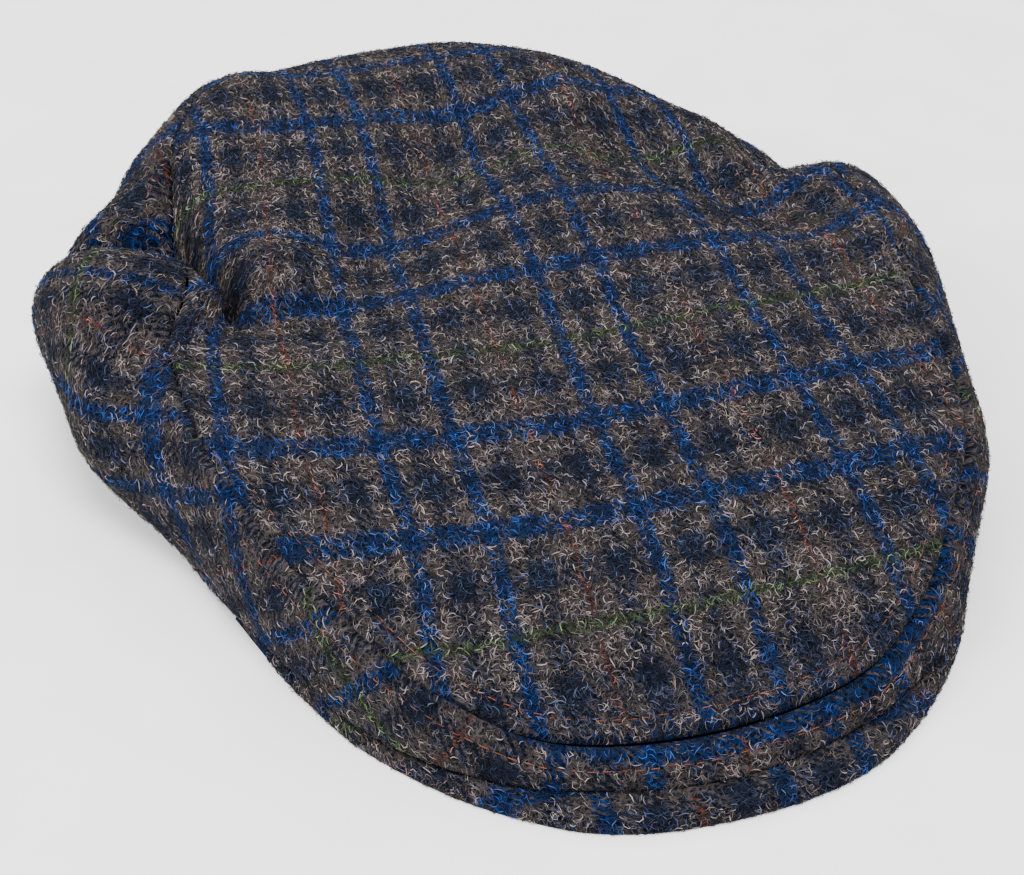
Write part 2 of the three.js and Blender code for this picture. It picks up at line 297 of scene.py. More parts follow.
def panel_depth(p, q):
    """Distance in the cloth from the seam, roughly, and the share of the way out to it."""
    turn = panel_turn(p, q)
    reach = np.interp(turn, EDGE_TURN, EDGE_REACH, period=2 * math.pi)
    square = np.interp(turn, EDGE_TURN, EDGE_SQUARE, period=2 * math.pi)
    out = np.hypot(p - PANEL_CENTRE[0], q - PANEL_CENTRE[1])
    return (reach - out) * square, out / reach


def panel_station(p, q):
    """Station that a place of the top panel faces."""
    turn = panel_turn(p, q)
    side = np.interp(np.abs(turn), EDGE_TURN[EDGE_T >= 0], EDGE_T[EDGE_T >= 0])
    return side * np.sign(turn)


def top_surface(p, q):
    """Skin of the top panel, with the seam's relief."""
    depth, _ = panel_depth(p, q)
    lift = seam_relief(np.maximum(depth, 0), panel_station(p, q)) + uneven(p, q, *TOP_UNEVEN)
    return top_point(p, q) + top_normal(p, q) * lift[..., None]


# Length of the band from hem to seam and of its strip around the cap, by station.
BAND_T = np.linspace(-LAST, LAST, 721)
BAND_HEIGHT = np.linalg.norm(
    np.diff(band_point(BAND_T[:, None], np.linspace(0, 1, 25)[None]), axis=1), axis=-1
).sum(1)
BAND_RUN = run_along(band_point(BAND_T, np.full_like(BAND_T, 0.5)))
BAND_RUN -= BAND_RUN[len(BAND_T) // 2]


def band_height(t):
    return np.interp(wrap(t), BAND_T, BAND_HEIGHT)


def band_run(t):
    return np.interp(wrap(t), BAND_T, BAND_RUN)


def band_surface(t, v):
    """Skin of the band, with the seam's relief and its hem turned in."""
    t, v = np.broadcast_arrays(wrap(t), np.asarray(v, float))
    height = band_height(t)
    depth = (1 - v) * height
    hem = v * height
    lift = seam_relief(np.maximum(depth, 0), t) + uneven(band_run(t), hem, *BAND_UNEVEN)
    lift = lift - HEM_ROLL * np.exp(-((hem / HEM_ROLL_WIDTH) ** 2))
    return band_point(t, v) + band_normal(t, v) * lift[..., None]


# ---------------- how the cloth was cut
EASE, EASE_TO = 6.5, 26  # the panel's front edge is eased by this much, over this far (mm)
BAND_MIDDLE = 12.0  # where along the band its strip lies straight with the weave (mm)
BAND_AT = (-13.1, 48.75)  # p, q of the cloth there
# How far the strip's middle lies from BAND_AT on the cloth, and how much its height leans against
# the weave, by the distance from BAND_MIDDLE (mm and degrees). Steam and pull shear it behind.
BAND_CUT = {
    "from": (0, 25, 60, 84, 96, 113, 129, 150, 168, 190, 212, 224, 236, 270, 330, 520),
    "p": (0, 21.5, 51, 69.3, 77.5, 91.5, 103.5, 119, 127.8, 138, 149, 162, 174, 186, 208, 300),
    "q": (0, 0, 5.1, 15.5, 21.5, 28, 42, 59, 74, 87, 101, 108, 116, 140, 178, 285),
    "lean": (0, 0, 19.4, 32.8, 42, 53, 56, 57, 57, 57, 57, 55, 52, 48, 45, 45),
}


def top_cloth(p, q):
    """The front edge of the panel is eased a little, which hides its first blue line."""
    p, q = np.broadcast_arrays(p, q)
    return np.stack([p, q + EASE * (1 - smooth(0, EASE_TO, q))], -1)


def band_cloth(t, v):
    """The band is a curved strip: its weave turns with it around the cap."""
    t, v = np.broadcast_arrays(t, v)
    away = band_run(t) - BAND_MIDDLE
    u, side = np.abs(away), np.sign(away)
    cut = {name: curve(BAND_CUT["from"], BAND_CUT[name], u) for name in ("p", "q", "lean")}
    lean = -side * np.radians(cut["lean"])
    over = (v - 0.5) * band_height(t)
    p = BAND_AT[0] + side * cut["p"] - over * np.sin(lean)
    q = BAND_AT[1] - cut["q"] + over * np.cos(lean)
    return np.stack([p, q], -1)


PEAK_FROM, PEAK_AT = (-9.5, -58), (-20.1, 72.8)  # a place of the peak and its place on the cloth
PEAK_SCALE = 0.91  # of the cloth in the photo's direction: the peak is stretched over its board
PEAK_FLARE, PEAK_FLARE_AT, PEAK_FLARE_POWER = 8.6, 77, 7  # the tips' extra stretch across
PEAK_BEND, PEAK_BACK_SCALE = -31, 0.5  # behind this y the cloth is stretched more
PEAK_EDGE_SCALE = 0.4  # of its rise, over the rounded edge


def peak_cloth(point):
    """The peak's weave follows its place in plan."""
    x, y = point[..., 0], point[..., 1]
    flare = np.sign(x) * PEAK_FLARE * (np.abs(x) / PEAK_FLARE_AT) ** PEAK_FLARE_POWER
    p = PEAK_AT[0] + PEAK_SCALE * (x - PEAK_FROM[0]) + flare
    front = PEAK_SCALE * (np.minimum(y, PEAK_BEND) - PEAK_FROM[1])
    q = PEAK_AT[1] + front + PEAK_BACK_SCALE * np.maximum(y - PEAK_BEND, 0)
    return np.stack([p, q + PEAK_EDGE_SCALE * point[..., 2]], -1)


# ---------------- the peak
PEAK_LAST = len(PEAK["x"]) - 1
PEAK_NOSE = 2.2  # length of the rounded edge in the section
NOSE_SHARE = 0.2  # of the way s from the edge inwards
PEAK_LOWER = 0.15  # the skin stays this far below the solid's, to leave room for unevenness


def peak_line(x_name, y_name, t):
    """A line of the table PEAK at t, from -PEAK_LAST at the left tip to PEAK_LAST."""
    k = np.arange(-PEAK_LAST, PEAK_LAST + 1)
    x = np.asarray(PEAK[x_name], float)[np.abs(k)] * np.where(k < 0, -1, 1)
    y = np.asarray(PEAK[y_name], float)[np.abs(k)]
    return np.stack([curve(k, x, t), curve(k, y, t), np.zeros_like(t)], -1)


def peak_surface(t, s):
    """Upper skin of the peak at t: s is 0 at its lower edge, 1 at its hidden inner edge."""
    t, s = np.broadcast_arrays(np.asarray(t, float), np.asarray(s, float))
    edge, inner = peak_line("x", "y", t), peak_line("innerX", "innerY", t)
    across = np.linalg.norm(inner - edge, axis=-1)
    inwards = (inner - edge) / across[..., None]
    turn = np.clip(s / NOSE_SHARE, 0, 1) * math.pi / 2
    flat = np.clip((s - NOSE_SHARE) / (1 - NOSE_SHARE), 0, 1)
    share = np.interp(np.abs(t), np.arange(PEAK_LAST + 1), PEAK["share"])
    inset = PEAK_NOSE * (1 - np.cos(turn))
    point = edge + inwards * (inset + flat * (across - PEAK_NOSE))[..., None]
    lift = uneven(point[..., 0], point[..., 1], *PEAK_UNEVEN) * np.sin(turn)
    level = (PEAK_THICK - PEAK_LOWER) * share * np.sin(turn)
    point[..., 2] = level + np.where(s < 0.999, lift, 0)
    return point


# ---------------- into the shared frame
peak_low, peak_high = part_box("peak")
MM = 0.001
CLOTH_UNIT = 100  # mm of cloth to one unit of the UV map cloth
SHIFT = np.array([  # from the tables' origin to the frame's, measured on the solid peak
    (peak_low[0] + peak_high[0]) / 2 / MM,
    peak_low[1] / MM - min(PEAK["y"]),
    peak_low[2] / MM,
])


def place(points):
    """From millimetres in the tables' own frame to metres in the shared frame."""
    return (np.asarray(points) + SHIFT) * MM


def make_piece(name, points, faces, cloth, material, pick=None, bake=None, strand=None):
    """A smooth mesh piece on root. Its UV maps: cloth is the flat cloth's p and q, pick two random
    numbers of each fibre, strand the place across it, OFBake the layout for baking. Each is given
    per point, or per corner."""
    mesh = bpy.data.meshes.new(name)
    mesh.vertices.add(len(points))
    mesh.vertices.foreach_set("co", place(points).astype(np.float32).ravel())
    sizes = np.array([len(face) for face in faces])
    corners = np.concatenate(faces)
    mesh.loops.add(len(corners))
    mesh.loops.foreach_set("vertex_index", corners.astype(np.int32))
    mesh.polygons.add(len(sizes))
    mesh.polygons.foreach_set("loop_start", (sizes.cumsum() - sizes).astype(np.int32))
    mesh.polygons.foreach_set("use_smooth", np.full(len(sizes), True))
    maps = {"cloth": cloth / CLOTH_UNIT, "pick": pick, "strand": strand, "OFBake": bake}
    for label, values in maps.items():
        if values is None:
            continue
        layer = mesh.uv_layers.new(name=label, do_init=False)
        values = values if len(values) == len(corners) else values[corners]
        layer.uv.foreach_set("vector", np.asarray(values, np.float32).ravel())
    mesh.uv_layers.active = mesh.uv_layers["cloth"]
    mesh.update(calc_edges=True)
    mesh.materials.append(material)
    piece = bpy.data.objects.new(name, mesh)
    bpy.context.scene.collection.objects.link(piece)
    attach(piece, "root")
    return piece


def grid_faces(rows, columns, offset=0, closed=True, flip=False):
    """Quads between rows of points, in one closed ring or open at both ends."""
    k = np.arange(columns if closed else columns - 1)
    j = np.arange(rows - 1)[:, None]
    n = (k + 1) % columns
    a, b = offset + j * columns + k, offset + j * columns + n
    c, d = b + columns, a + columns
    quads = np.stack([a, b, c, d], -1).reshape(-1, 4)
    return quads[:, ::-1] if flip else quads


def ring_faces(first, second):
    """Quads between two closed rings of AROUND points that start at first and second."""
    k = np.arange(AROUND)
    n = (k + 1) % AROUND
    return np.stack([first + k, second + k, second + n, first + n], -1)


def packed(cloth, low, high):
    """cloth coordinates scaled evenly into the box low..high of a bake map."""
    first, last = cloth.min(0), cloth.max(0)
    scale = ((np.asarray(high) - low) / (last - first)).min()
    return np.asarray(low) + (cloth - first) * scale


# ---------------- the three cloth shells
AROUND = 480  # columns of points around the two closed shells
TURN = np.linspace(-LAST, LAST, AROUND + 1)[:-1]
# Rings of the top panel as shares of the way out from its centre, finer towards the seam, and
# those that its coarser inner skin shares.
TOP_RINGS = np.concatenate([
    np.linspace(0.02, 0.9, 46), 1 - 0.09 * np.linspace(1, 0, 25)[1:-1] ** 1.15
])
TOP_INNER = [*range(0, 55, 6), len(TOP_RINGS)]
BAND_ROWS = np.concatenate([
    [0, 0.008, 0.02, 0.04], np.linspace(0.07, 0.93, 27), [0.95, 0.965, 0.98, 0.99, 1]
])
BAND_INNER = np.linspace(0, 1, 7)
BACK_END = LAST - 1e-6  # just before the back centre, where the count of stations jumps
BAND_TALLEST = 90  # mm, more than its greatest height


def build_top(material):
    mid_p, mid_q = PANEL_CENTRE
    edge_p, edge_q = station("p", TURN), station("q", TURN)
    last = 1 - SEAM_GAP / np.hypot(edge_p - mid_p, edge_q - mid_q)
    s = np.concatenate([np.minimum(TOP_RINGS[:, None], last), last[None]])
    p, q = mid_p + s * (edge_p - mid_p), mid_q + s * (edge_q - mid_q)
    outer = top_surface(p, q)
    inner = top_point(p, q)[TOP_INNER] - WALL * top_normal(p, q)[TOP_INNER]
    inner[-1] = top_point(p[-1], q[-1]) + seam_mitre(TURN)
    middle = top_surface(np.array([mid_p]), np.array([mid_q]))
    points = np.concatenate([
        outer.reshape(-1, 3), inner.reshape(-1, 3), middle, middle - [0, 0, WALL]
    ])
    flat = np.stack([p, q], -1)
    cloth = np.concatenate([
        flat.reshape(-1, 2), flat[TOP_INNER].reshape(-1, 2), [[mid_p, mid_q], [mid_p, mid_q]]
    ])
    rows, inner_rows = len(s), len(TOP_INNER)
    first_inner = rows * AROUND
    hub, inner_hub = len(points) - 2, len(points) - 1
    k = np.arange(AROUND)
    n = (k + 1) % AROUND
    quads = np.concatenate([
        grid_faces(rows, AROUND, flip=True),
        grid_faces(inner_rows, AROUND, first_inner),
        ring_faces((rows - 1) * AROUND, first_inner + (inner_rows - 1) * AROUND),
    ])
    fans = np.concatenate([
        np.stack([np.full(AROUND, hub), k, n], -1),
        np.stack([np.full(AROUND, inner_hub), first_inner + n, first_inner + k], -1),
    ])
    bake = packed(cloth, (0.005, 0.005), (0.8, 0.995))
    inner_points = np.concatenate([np.arange(first_inner, hub), [inner_hub]])
    bake[inner_points] = packed(cloth[inner_points], (0.82, 0.01), (0.995, 0.3))
    faces = [*quads, *fans]
    piece = make_piece("top_cloth", points, faces, cloth, material, bake=bake)
    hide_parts("crown_top")
    return piece


def build_band(material):
    t, v = np.meshgrid(TURN, BAND_ROWS)
    inner_t, inner_v = np.meshgrid(TURN, BAND_INNER)
    hem, seam = hem_point(TURN), band_point(TURN, 1.0)
    down = unit(band_point(TURN, 0.95) - seam)
    outer = band_surface(t, v)
    outer[-1] += down * SEAM_GAP
    inner = band_point(inner_t, inner_v) - WALL * band_normal(inner_t, inner_v)
    inner[0] = hem - WALL * outward(TURN)
    inner[-1] = seam + down * SEAM_GAP + seam_mitre(TURN)
    inner[..., 2] = np.maximum(inner[..., 2], hem[:, 2])
    outer[..., 2] = np.maximum(outer[..., 2], hem[:, 2])
    points = np.concatenate([outer.reshape(-1, 3), inner.reshape(-1, 3)])
    rows, inner_rows = len(BAND_ROWS), len(BAND_INNER)
    first_inner = rows * AROUND
    rim = first_inner + (inner_rows - 1) * AROUND
    quads = np.concatenate([
        grid_faces(rows, AROUND),
        grid_faces(inner_rows, AROUND, first_inner, flip=True),
        ring_faces((rows - 1) * AROUND, rim)[:, [0, 3, 2, 1]],
        ring_faces(0, first_inner),
    ])
    corners = quads.ravel()
    # The strip's two ends meet at the back centre: corners there belong to its last column.
    last_column = (quads % AROUND == AROUND - 1).any(1) & (quads % AROUND == 0).any(1)
    wrapped = np.repeat(last_column, 4) & (corners % AROUND == 0)
    cloth = np.concatenate([
        band_cloth(t, v).reshape(-1, 2), band_cloth(inner_t, inner_v).reshape(-1, 2)
    ])[corners]
    ends = np.concatenate([
        band_cloth(np.full(rows, BACK_END), BAND_ROWS),
        band_cloth(np.full(inner_rows, BACK_END), BAND_INNER),
    ])
    cloth[wrapped] = ends[(corners // AROUND)[wrapped]]
    start, end = band_run(np.array([-BACK_END, BACK_END]))
    share = (band_run(TURN) - start) / (end - start)
    high = band_height(TURN) / BAND_TALLEST

    def layout(shares, low, scale):
        up = low + scale * (shares[:, None] * high).ravel()
        return np.stack([np.tile(share, len(shares)), up], -1)

    bake = np.concatenate([layout(BAND_ROWS, 0.27, 0.5), layout(BAND_INNER, 0.01, 0.2)])[corners]
    bake[wrapped, 0] = 1.0
    piece = make_piece("band_cloth", points, quads, cloth, material, bake=bake)
    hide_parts("side_band")
    return piece


def build_peak(material):
    t = np.linspace(-PEAK_LAST, PEAK_LAST, 241)
    s = np.concatenate([np.linspace(0, NOSE_SHARE, 9), np.linspace(0.22, 1, 22)])
    upper = peak_surface(*np.meshgrid(t, s))
    edge, inner = peak_line("x", "y", t), peak_line("innerX", "innerY", t)
    inwards = unit(inner - edge)
    upper[0] += inwards * 0.2
    under = np.stack([edge + inwards * 0.5, edge + inwards * 4, (edge + inner) / 2, inner])
    points = np.concatenate([upper.reshape(-1, 3), under[::-1].reshape(-1, 3)])
    rows, columns = len(s) + len(under), len(t)
    k, last = np.arange(columns - 1), (rows - 1) * columns
    quads = np.concatenate([
        grid_faces(rows, columns, closed=False, flip=True),
        np.stack([k + 1 + last, k + 1, k, k + last], -1),
    ])
    tip = np.arange(rows) * columns
    ends = [tip, (tip + columns - 1)[::-1]]
    cloth = peak_cloth(points)
    first_under = len(s) * columns
    bake = packed(cloth, (0.01, 0.01), (0.99, 0.6))
    bake[first_under:] = packed(cloth[first_under:], (0.01, 0.65), (0.9, 0.99))
    faces = [*quads, *ends]
    piece = make_piece("peak_cloth", points, faces, cloth, material, bake=bake)
    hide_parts("peak")
    return piece


# ---------------- node materials
def linear(r, g, b):
    """Colour for a node from the eight-bit values of a screen."""
    def one(c):
        c /= 255
        return c / 12.92 if c <= 0.04045 else ((c + 0.055) / 1.055) ** 2.4

    return (one(r), one(g), one(b), 1)


class Val:
    """A number in a node tree, with arithmetic that adds Math nodes."""

    def __init__(self, tree, source):
        self.tree, self.source = tree, source

    def feed(self, node, values):
        for socket, value in zip(node.inputs, values):
            if isinstance(value, Val):
                self.tree.links.new(value.source, socket)
            else:
                socket.default_value = value

    def math(self, operation, *others):
        node = self.tree.nodes.new("ShaderNodeMath")
        node.operation = operation
        self.feed(node, (self, *others))
        return Val(self.tree, node.outputs[0])

    def __add__(self, other):
        return self.math("ADD", other)

    def __sub__(self, other):
        return self.math("SUBTRACT", other)

    def __mul__(self, other):
        return self.math("MULTIPLY", other)

    def __truediv__(self, other):
        return self.math("DIVIDE", other)

    def floor(self):
        return self.math("FLOOR")

    def fract(self):
        return self.math("FRACT")

    def abs(self):
        return self.math("ABSOLUTE")

    def max(self, other):
        return self.math("MAXIMUM", other)

    def step(self, low, high, start=0.0, end=1.0):
        """start below low, end above high, and smooth between."""
        node = self.tree.nodes.new("ShaderNodeMapRange")
        node.interpolation_type = "SMOOTHSTEP"
        self.feed(node, (self, low, high, start, end))
        return Val(self.tree, node.outputs[0])


def mix(fac, first, second):
    """Colour between two colours or colour sockets."""
    node = fac.tree.nodes.new("ShaderNodeMix")
    node.data_type = "RGBA"
    fac.tree.links.new(fac.source, node.inputs[0])
    for socket, value in ((node.inputs[6], first), (node.inputs[7], second)):
        if isinstance(value, tuple):
            socket.default_value = value
        else:
            fac.tree.links.new(value, socket)
    return node.outputs[2]


def tinted(colour, gain):
    """A colour socket times a number."""
    node = gain.tree.nodes.new("ShaderNodeVectorMath")
    node.operation = "SCALE"
    gain.tree.links.new(colour, node.inputs[0])
    gain.tree.links.new(gain.source, node.inputs["Scale"])
    return node.outputs[0]


def joined(p, q, depth):
    """A vector socket from two numbers in a tree and one plain number."""
    node = p.tree.nodes.new("ShaderNodeCombineXYZ")
    p.tree.links.new(p.source, node.inputs[0])
    p.tree.links.new(q.source, node.inputs[1])
    node.inputs[2].default_value = depth
    return node.outputs[0]


LAYER_APART = 17.3  # keeps one layer of noise from looking like the next


def noise(p, q, size, layer, detail=1.0, rough=0.5):
    """Noise from 0 to 1 over the cloth, with features of about size mm."""
    node = p.tree.nodes.new("ShaderNodeTexNoise")
    node.noise_dimensions = "3D"
    node.inputs["Scale"].default_value = 1 / size
    node.inputs["Detail"].default_value = detail
    node.inputs["Roughness"].default_value = rough
    p.tree.links.new(joined(p, q, LAYER_APART * layer), node.inputs["Vector"])
    return Val(p.tree, node.outputs[0])


def strands(p, q, size, layer, width):
    """Thin curly lines, where the noise passes through its middle value."""
    return (noise(p, q, size, layer, 0.6) - 0.5).abs().step(0, width, 1, 0)


YARN_IN_PAINTED_SHADE = {  # the yarns' own plaid colours darkened with painted shade, as they show in the gaps between the fibres
    "taupe": linear(10, 13, 22),
    "navy": linear(3, 6, 13),
    "blue": linear(1, 7, 24),
    "rust": linear(36, 18, 15),
    "green": linear(14, 19, 11),
}
HAIR = {  # the same wool in fibres that stand up and catch the light
    "taupe": linear(92, 83, 80),
    "navy": linear(33, 39, 58),
    "blue": linear(20, 46, 95),
    "rust": linear(112, 62, 48),
    "green": linear(70, 81, 57),
}


WANDER = 2.2  # mm that the plaid's lines stray, slowly
FRAY = 2.4  # mm that they stray from yarn to yarn


def strayed(p, q):
    wander, wander_q = noise(p, q, 9, 1, 2) - 0.5, noise(p, q, 9, 2, 2) - 0.5
    return p + wander * WANDER, q + wander_q * WANDER


def nearest_line(place, every, start):
    """Number of the nearest line of the plaid, and the distance to it in mm."""
    count = place / every + start
    number = (count + 0.5).floor()
    return number, (count - number).abs() * every


def every_third(number):
    """1 at each third line, 0 at the others."""
    third = (number / 3).fract()
    return third.step(0.02, 0.1, 1, 0).max(third.step(0.9, 0.98))


def plaid(p, q, wool, chance, blur):
    """Colour of the plaid at (p, q) in mm of cloth. chance, from 0 to 1, decides between the warp
    and the weft; the one that runs in a coloured line wins more often."""
    number, line_p = nearest_line(p, CHECK_P, CHECK_P0)
    is_rust = every_third(number - 1)
    row, line_q = nearest_line(q, CHECK_Q, CHECK_Q0)
    is_green = every_third(row)

    # each step is the distance in mm from a line's middle over which a yarn gives way
    dark_p = line_p.step(5.2, 6.6)
    dark_q = line_q.step(8.2, 9.8)
    blue_p = line_p.step(1.3, 2.6, 1, 0) * (is_rust * -1 + 1)
    rust_p = line_p.step(0.35, 0.85, 1, 0) * is_rust
    rust_p = rust_p * noise(p, q, 7, 31, 1).step(0.38, 0.55, 0.15, 0.8)
    blue_q = line_q.step(1.9, 3.7, 1, 0) * (is_green * -1 + 1)
    green_q = line_q.step(0.9, 1.7, 1, 0) * is_green

    warp = mix(dark_p, wool["taupe"], wool["navy"])
    warp = mix(blue_p, warp, wool["blue"])
    warp = mix(rust_p, warp, wool["rust"])
    weft = mix(dark_q, wool["taupe"], wool["navy"])
    weft = mix(blue_q, weft, wool["blue"])
    weft = mix(green_q, weft, wool["green"])
    bias = blue_p.max(rust_p) * 0.2 - blue_q.max(green_q) * 0.2
    return mix((chance - (bias + 0.5)).step(-blur, blur, 1, 0), weft, warp)


def new_material(name):
    material = bpy.data.materials.new(name)
    material.use_nodes = True
    tree = material.node_tree
    shader = tree.nodes["Principled BSDF"]
    return material, tree, shader


def uv_values(tree, name, scale):
    """Both numbers of a UV map, times scale."""
    node = tree.nodes.new("ShaderNodeUVMap")
    node.uv_map = name
    split = tree.nodes.new("ShaderNodeSeparateXYZ")
    tree.links.new(node.outputs[0], split.inputs[0])
    return Val(tree, split.outputs[0]) * scale, Val(tree, split.outputs[1]) * scale


def gloss(shader, specular, sheen):
    shader.inputs["Specular IOR Level"].default_value = specular
    shader.inputs["Sheen Weight"].default_value = sheen


def bump(tree, shader, height, distance, strength):
    node = tree.nodes.new("ShaderNodeBump")
    node.inputs["Distance"].default_value = distance
    node.inputs["Strength"].default_value = strength
    tree.links.new(height.source, node.inputs["Height"])
    tree.links.new(node.outputs[0], shader.inputs["Normal"])


YARN_WIDTH = 0.6  # mm of cloth to one yarn
TWILL = 4  # yarns to one repeat of the weave


def tweed(name):
    """The woven ground: yarns darkened with painted shade, painted shade in the grooves between
    them, and thin bright fibres over them.
    """
    material, tree, shader = new_material(name)
    p, q = uv_values(tree, "cloth", CLOTH_UNIT)
    fray, fray_q = noise(p, q, 0.9, 3, 2) - 0.5, noise(p, q, 0.9, 4, 2) - 0.5
    line_p, line_q = strayed(p, q)
    line_p, line_q = line_p + fray * FRAY, line_q + fray_q * FRAY
    a, b = (p + fray_q * 0.8) / YARN_WIDTH, (q + fray * 0.8) / YARN_WIDTH
    diagonal = ((a + b) / TWILL).fract()
    # colour: the plaid in yarn colours darkened with painted shade of the gaps between the fibres
    colour = plaid(line_p, line_q, YARN_IN_PAINTED_SHADE, diagonal, 0.06)
    bright = plaid(line_p, line_q, HAIR, diagonal, 0.06)
    fibres = strands(p, q, 1.6, 5, 0.08)
    fibres = fibres.max(strands(p, q, 1.2, 6, 0.09) * 0.85).max(strands(p, q, 0.9, 7, 0.1) * 0.6)
    patches = noise(p, q, 2.2, 8, 3, 0.7)
    ribs = (a * math.pi).math("SINE").abs() * 0.5 + (b * math.pi).math("SINE").abs() * 0.5
    crowd = fibres * patches.step(0.25, 0.7, 0.35, 1)
    # tone: random patches, times painted shade in the grooves between the yarns, where ribs falls
    # to 0
    tone = patches.step(0.3, 0.7, 0.5, 1.3) * (ribs * 0.6 + 0.55)
    yarn_with_painted_shade = tinted(colour, tone)
    tree.links.new(mix(crowd * 0.6, yarn_with_painted_shade, bright), shader.inputs["Base Color"])
    rough = noise(p, q, 1.3, 9, 2)
    tree.links.new(rough.step(0.2, 0.8, 0.82, 1.0).source, shader.inputs["Roughness"])
    gloss(shader, 0.02, 0.02)
    shader.inputs["Sheen Roughness"].default_value = 0.5
    shader.inputs["Sheen Tint"].default_value = (0.8, 0.82, 0.9, 1)
    bump(tree, shader, crowd * 0.6 + ribs * 0.35 + patches * 0.4, 0.0007, 0.9)
    return material


def wool_hairs(name):
    """For single fibres: the plaid's colour at the root, lighter or darker fibre by fibre. A few
    are grey-blue anywhere, and each has painted shade along its edges, as a round fibre would
    have."""
    material, tree, shader = new_material(name)
    p, q = uv_values(tree, "cloth", CLOTH_UNIT)
    tone, choice = uv_values(tree, "pick", 1)
    across, _ = uv_values(tree, "strand", 1)
    edge = (across * 2 - 1).abs()
    line_p, line_q = strayed(p, q)
    colour = plaid(line_p, line_q, HAIR, choice, 0.02)
    mixed_in = (choice * 7.3).fract().step(0.6, 1.0, 0, 0.35)
    colour = mix(mixed_in, colour, linear(78, 84, 106))
    # most fibres are dull and a few are bright
    gain = tone.math("POWER", 2.7) * 1.8 + tone.math("POWER", 16.0) * 0.85 + 0.155
    fleck = noise(p, q, 0.25, 11, 1).step(0.3, 0.7, 0.85, 1.15)
    # painted shade along each fibre's edges, as on a round fibre
    painted_edge_shade = (edge * edge) * -0.7 + 1
    tree.links.new(tinted(colour, gain * fleck * painted_edge_shade), shader.inputs["Base Color"])
    tree.links.new(tone.step(0, 1, 0.6, 0.85).source, shader.inputs["Roughness"])
    gloss(shader, 0.05, 0.02)
    bump(tree, shader, noise(p, q, 0.15, 12, 1), 0.0001, 0.5)
    return material


def thread_material(name):
    """Rust sewing thread with its twist."""
    material, tree, shader = new_material(name)
    p, q = uv_values(tree, "cloth", CLOTH_UNIT)
    tone, _ = uv_values(tree, "pick", 1)
    ply = ((p + q * 0.6) * 14.0).math("SINE") * 0.5 + 0.5
    spots = noise(p, q, 0.5, 21, 2)
    colour = mix(ply * 0.6 + spots * 0.4, linear(80, 40, 30), linear(142, 76, 50))
    tree.links.new(tinted(colour, tone.step(0, 1, 0.4, 0.9)), shader.inputs["Base Color"])
    tree.links.new(spots.step(0.2, 0.8, 0.45, 0.7).source, shader.inputs["Roughness"])
    gloss(shader, 0.15, 0.05)
    bump(tree, shader, ply, 0.0001, 0.8)
    return material


# ---------------- fibres standing on the cloth
HAIR_STEPS = 3  # quads to one fibre
HAIR_LENGTH, HAIR_RADIUS = (1.5, 3.4), (0.55, 1.5)  # of a fibre and of its curl
HAIR_HALF = (0.07, 0.145)  # half its width: each stands for a small lock
HAIR_LOW, HAIR_HIGH = 0.04, 0.75  # from the skin
LOOSE = 0.25  # share of the fibres with one end in the air


def hair_shapes(count, rng):
    """Curls about their middle: x, y and height in mm at each of their joints."""
    length = rng.uniform(*HAIR_LENGTH, count)
    heading = rng.uniform(0, 2 * math.pi, count)
    curl = rng.choice([-1, 1], count) / rng.uniform(*HAIR_RADIUS, count)
    unwind = rng.uniform(-0.4, 1.6, count)
    s = np.linspace(0, 1, HAIR_STEPS + 1)
    turn = curl[:, None] * length[:, None] * (s - unwind[:, None] * s * s / 2)
    angle = heading[:, None] + turn
    middle = (angle[:, 1:] + angle[:, :-1]) / 2
    step = (length / HAIR_STEPS)[:, None]
    x = np.concatenate([np.zeros((count, 1)), np.cumsum(step * np.cos(middle), 1)], 1)
    y = np.concatenate([np.zeros((count, 1)), np.cumsum(step * np.sin(middle), 1)], 1)
    x, y = x - x.mean(1, keepdims=True), y - y.mean(1, keepdims=True)
    peak = rng.gamma(2.0, 0.12, count)[:, None]
    lean = rng.uniform(0.25, 0.75, count)[:, None]
    arch = np.minimum(s / lean, (1 - s) / (1 - lean))
    loose = rng.random(count)[:, None] < LOOSE
    height = peak * np.where(loose, np.minimum(s / lean, 1.0), np.sqrt(np.maximum(arch, 0)))
    return x, y, HAIR_LOW + np.minimum(height, HAIR_HIGH)


